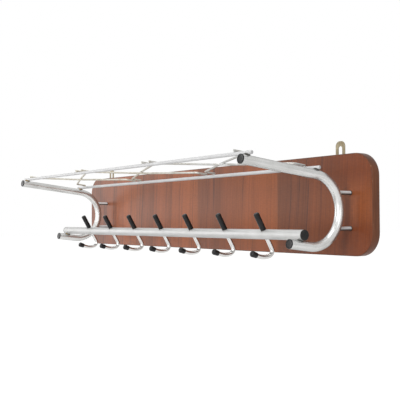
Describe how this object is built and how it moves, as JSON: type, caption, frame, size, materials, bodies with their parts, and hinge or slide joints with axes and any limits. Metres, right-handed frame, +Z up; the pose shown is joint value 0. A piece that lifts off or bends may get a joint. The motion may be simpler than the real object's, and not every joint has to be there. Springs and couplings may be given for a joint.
{
  "type": "wall coat and hat rack",
  "caption": "Wall coat and hat rack: veneered board with bent tube brackets, a wire hat shelf and a rail of swivelling hooks with plastic sleeves and caps.",
  "frame": {"origin": "centre of the board's back face, on the wall", "axes": "+X along the board to the right seen from the front, +Y into the wall, +Z up"},
  "size_m": [1.29, 0.3198, 0.2582],
  "materials": {
    "veneer": "satin lacquered red-brown veneer, upright grain",
    "board_edge": "dark stained edge band",
    "satin_tube": "satin plated tube",
    "bright_wire": "bright plated wire",
    "black_plastic": "satin black",
    "braze": "dull brazing metal",
    "hanger_steel": "yellow passivated sheet",
    "screw_steel": "plain plated"
  },
  "bodies": {
    "rack": {"backboard": "veneer", "edge_band": "board_edge", "bracket_tube_left": "satin_tube", "bracket_tube_right": "satin_tube", "hook_rail": "satin_tube", "standoff_upper_left": "bright_wire", "standoff_upper_right": "bright_wire", "standoff_lower_left": "bright_wire", "standoff_lower_right": "bright_wire", "shelf_rod_front": "bright_wire", "shelf_rod_rear": "bright_wire", "shelf_wire_under_1": "bright_wire", "shelf_wire_over_1": "bright_wire", "shelf_wire_under_2": "bright_wire", "shelf_wire_over_2": "bright_wire", "shelf_wire_under_3": "bright_wire", "shelf_wire_over_3": "bright_wire", "tube_plug_upper_left": "black_plastic", "tube_plug_upper_right": "black_plastic", "tube_plug_lower_left": "black_plastic", "tube_plug_lower_right": "black_plastic", "rail_plug_left": "black_plastic", "rail_plug_right": "black_plastic", "braze_front_rod_left": "braze", "braze_front_rod_right": "braze", "braze_rear_rod_left": "braze", "braze_rear_rod_right": "braze", "braze_rail_left": "braze", "braze_rail_right": "braze", "hanger_plate_left": "hanger_steel", "hanger_plate_right": "hanger_steel", "standoff_screw_upper_left": "screw_steel", "standoff_screw_upper_right": "screw_steel", "standoff_screw_lower_left": "screw_steel", "standoff_screw_lower_right": "screw_steel", "hanger_screw_left_1": "screw_steel", "hanger_screw_left_2": "screw_steel", "hanger_screw_right_1": "screw_steel", "hanger_screw_right_2": "screw_steel"},
    "swivel_hook_1": {"hook_1": "bright_wire", "hook_sleeve_1": "black_plastic", "hook_cap_1": "black_plastic"},
    "swivel_hook_2": {"hook_2": "bright_wire", "hook_sleeve_2": "black_plastic", "hook_cap_2": "black_plastic"},
    "swivel_hook_3": {"hook_3": "bright_wire", "hook_sleeve_3": "black_plastic", "hook_cap_3": "black_plastic"},
    "swivel_hook_4": {"hook_4": "bright_wire", "hook_sleeve_4": "black_plastic", "hook_cap_4": "black_plastic"},
    "swivel_hook_5": {"hook_5": "bright_wire", "hook_sleeve_5": "black_plastic", "hook_cap_5": "black_plastic"},
    "swivel_hook_6": {"hook_6": "bright_wire", "hook_sleeve_6": "black_plastic", "hook_cap_6": "black_plastic"},
    "swivel_hook_7": {"hook_7": "bright_wire", "hook_sleeve_7": "black_plastic", "hook_cap_7": "black_plastic"}
  },
  "joints": [
    {"name": "hook_swivel_1", "type": "hinge", "parent": "rack", "child": "swivel_hook_1", "pos_m": [-0.36412, -0.16334, -0.06289], "axis": [0, -0.5, 0.866], "continuous": true},
    {"name": "hook_swivel_2", "type": "hinge", "parent": "rack", "child": "swivel_hook_2", "pos_m": [-0.22525, -0.16334, -0.06289], "axis": [0, -0.5, 0.866], "continuous": true},
    {"name": "hook_swivel_3", "type": "hinge", "parent": "rack", "child": "swivel_hook_3", "pos_m": [-0.08637, -0.16334, -0.06289], "axis": [0, -0.5, 0.866], "continuous": true},
    {"name": "hook_swivel_4", "type": "hinge", "parent": "rack", "child": "swivel_hook_4", "pos_m": [0.0525, -0.16334, -0.06289], "axis": [0, -0.5, 0.866], "continuous": true},
    {"name": "hook_swivel_5", "type": "hinge", "parent": "rack", "child": "swivel_hook_5", "pos_m": [0.19137, -0.16334, -0.06289], "axis": [0, -0.5, 0.866], "continuous": true},
    {"name": "hook_swivel_6", "type": "hinge", "parent": "rack", "child": "swivel_hook_6", "pos_m": [0.33025, -0.16334, -0.06289], "axis": [0, -0.5, 0.866], "continuous": true},
    {"name": "hook_swivel_7", "type": "hinge", "parent": "rack", "child": "swivel_hook_7", "pos_m": [0.46913, -0.16334, -0.06289], "axis": [0, -0.5, 0.866], "continuous": true}
  ]
}
